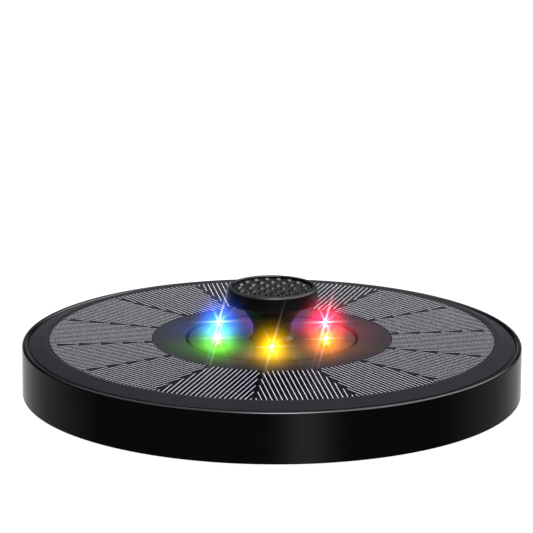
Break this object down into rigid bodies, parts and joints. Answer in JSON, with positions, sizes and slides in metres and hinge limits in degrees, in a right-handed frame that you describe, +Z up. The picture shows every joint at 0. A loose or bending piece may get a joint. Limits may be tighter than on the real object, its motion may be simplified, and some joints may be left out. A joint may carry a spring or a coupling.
{
  "type": "floating solar fountain pump",
  "caption": "Flat round floating fountain pump with a ring of solar cells, a lit lens round a push-on spray nozzle, and a strained centrifugal pump below.",
  "frame": {"origin": "centre of the flat underside of the strainer, on the spray axis", "axes": "+Z up along the spray; -Y is the front; +X is to the right seen from the front"},
  "size_m": [0.18, 0.18, 0.0542],
  "materials": {
    "shell_black": "gloss black moulded plastic, a little smeared",
    "deck_black": "black moulded plastic",
    "rubber_black": "soft black rubber",
    "screw_steel": "stainless pan-head screws",
    "panel_slate": "slate-grey satin solder mask",
    "cell_silicon": "near-black silicon with fine silver fingers",
    "ribbon_tinned": "tinned ribbon",
    "cover_clear": "clear sheet, slightly satin",
    "lens_milky": "light grey translucent diffuser",
    "board_white": "white solder mask",
    "board_green": "green solder mask",
    "chip_black": "black epoxy",
    "capacitor_can": "drawn aluminium can",
    "connector_white": "natural nylon",
    "plunger_white": "white acetal",
    "button_black": "black silicone button",
    "battery_foil": "foil pouch",
    "clamp_steel": "zinc-plated strip",
    "wire_red_black": "insulated wire, one red and one black",
    "pump_black": "black moulded plastic",
    "core_iron": "stacked silicon-iron sheets",
    "bobbin_nylon": "natural nylon",
    "coil_copper": "enamelled copper wire",
    "potting_resin": "black epoxy resin",
    "impeller_plastic": "dark acetal",
    "magnet_ferrite": "sintered ferrite",
    "shaft_ceramic": "ground white ceramic",
    "intake_black": "black moulded plastic",
    "strainer_black": "black moulded plastic",
    "foam_charcoal": "open-cell charcoal foam",
    "riser_black": "black moulded plastic",
    "nozzle_satin": "satin black moulded plastic",
    "spray_plate_black": "black moulded plastic",
    "led_yellow": "yellow light, lit",
    "led_orange": "orange light, lit",
    "led_red": "red light, lit",
    "led_violet": "violet light, lit",
    "led_blue": "blue light, lit",
    "led_green": "green light, lit"
  },
  "bodies": {
    "float": {"base_shell": "shell_black", "battery_clamp": "clamp_steel", "battery_pack": "battery_foil", "battery_pads": "rubber_black", "battery_wires": "wire_red_black", "board_capacitor": "capacitor_can", "board_chips": "chip_black", "board_connectors": "connector_white", "board_inductor": "chip_black", "board_screws": "screw_steel", "button_oring": "rubber_black", "cable_grommet": "rubber_black", "cell_links": "ribbon_tinned", "clamp_screws": "screw_steel", "coil_bobbin": "bobbin_nylon", "deck_screws": "screw_steel", "driver_chips": "chip_black", "led_blue": "led_blue", "led_board": "board_white", "led_board_screws": "screw_steel", "led_green": "led_green", "led_lens": "lens_milky", "led_orange": "led_orange", "led_red": "led_red", "led_violet": "led_violet", "led_wires": "wire_red_black", "led_yellow": "led_yellow", "lens_gasket": "rubber_black", "main_board": "board_green", "mode_switch": "chip_black", "motor_driver_board": "board_green", "outlet_riser": "riser_black", "panel_carrier": "deck_black", "panel_cover": "cover_clear", "panel_wires": "wire_red_black", "potting_compound": "potting_resin", "pump_body": "pump_black", "pump_gasket": "rubber_black", "pump_screws": "screw_steel", "pump_wires": "wire_red_black", "rim_gasket": "rubber_black", "riser_seals": "rubber_black", "rotor_shaft": "shaft_ceramic", "solar_backboard": "panel_slate", "solar_cells": "cell_silicon", "stator_coil": "coil_copper", "stator_core": "core_iron", "upper_shaft_bush": "rubber_black"},
    "nozzle": {"nozzle_stem": "nozzle_satin"},
    "spray_cap": {"spray_head": "nozzle_satin", "spray_plate": "spray_plate_black"},
    "rotor": {"impeller": "impeller_plastic", "rotor_magnet": "magnet_ferrite"},
    "intake": {"intake_cover": "intake_black", "lower_shaft_bush": "rubber_black"},
    "strainer": {"strainer_cover": "strainer_black", "filter_sponge": "foam_charcoal"},
    "button": {"mode_button": "button_black", "switch_plunger": "plunger_white"}
  },
  "joints": [
    {"name": "nozzle_pull", "type": "slide", "parent": "float", "child": "nozzle", "axis": [0, 0, 1], "range_m": [0, 0.02]},
    {"name": "spray_cap_turn", "type": "hinge", "parent": "nozzle", "child": "spray_cap", "pos_m": [0, 0, 0.0482], "axis": [0, 0, 1], "continuous": true},
    {"name": "rotor_spin", "type": "hinge", "parent": "float", "child": "rotor", "pos_m": [0.013, 0, 0.012], "axis": [0, 0, 1], "continuous": true},
    {"name": "intake_cover_twist", "type": "hinge", "parent": "float", "child": "intake", "pos_m": [0.013, 0, 0.0056], "axis": [0, 0, 1], "range_deg": [0, 36]},
    {"name": "strainer_pull", "type": "slide", "parent": "float", "child": "strainer", "axis": [0, 0, -1], "range_m": [0, 0.025]},
    {"name": "button_press", "type": "slide", "parent": "float", "child": "button", "axis": [0, 0, 1], "range_m": [0, 0.0006], "stiffness_N_per_m": 20, "springref_m": -0.0005}
  ]
}
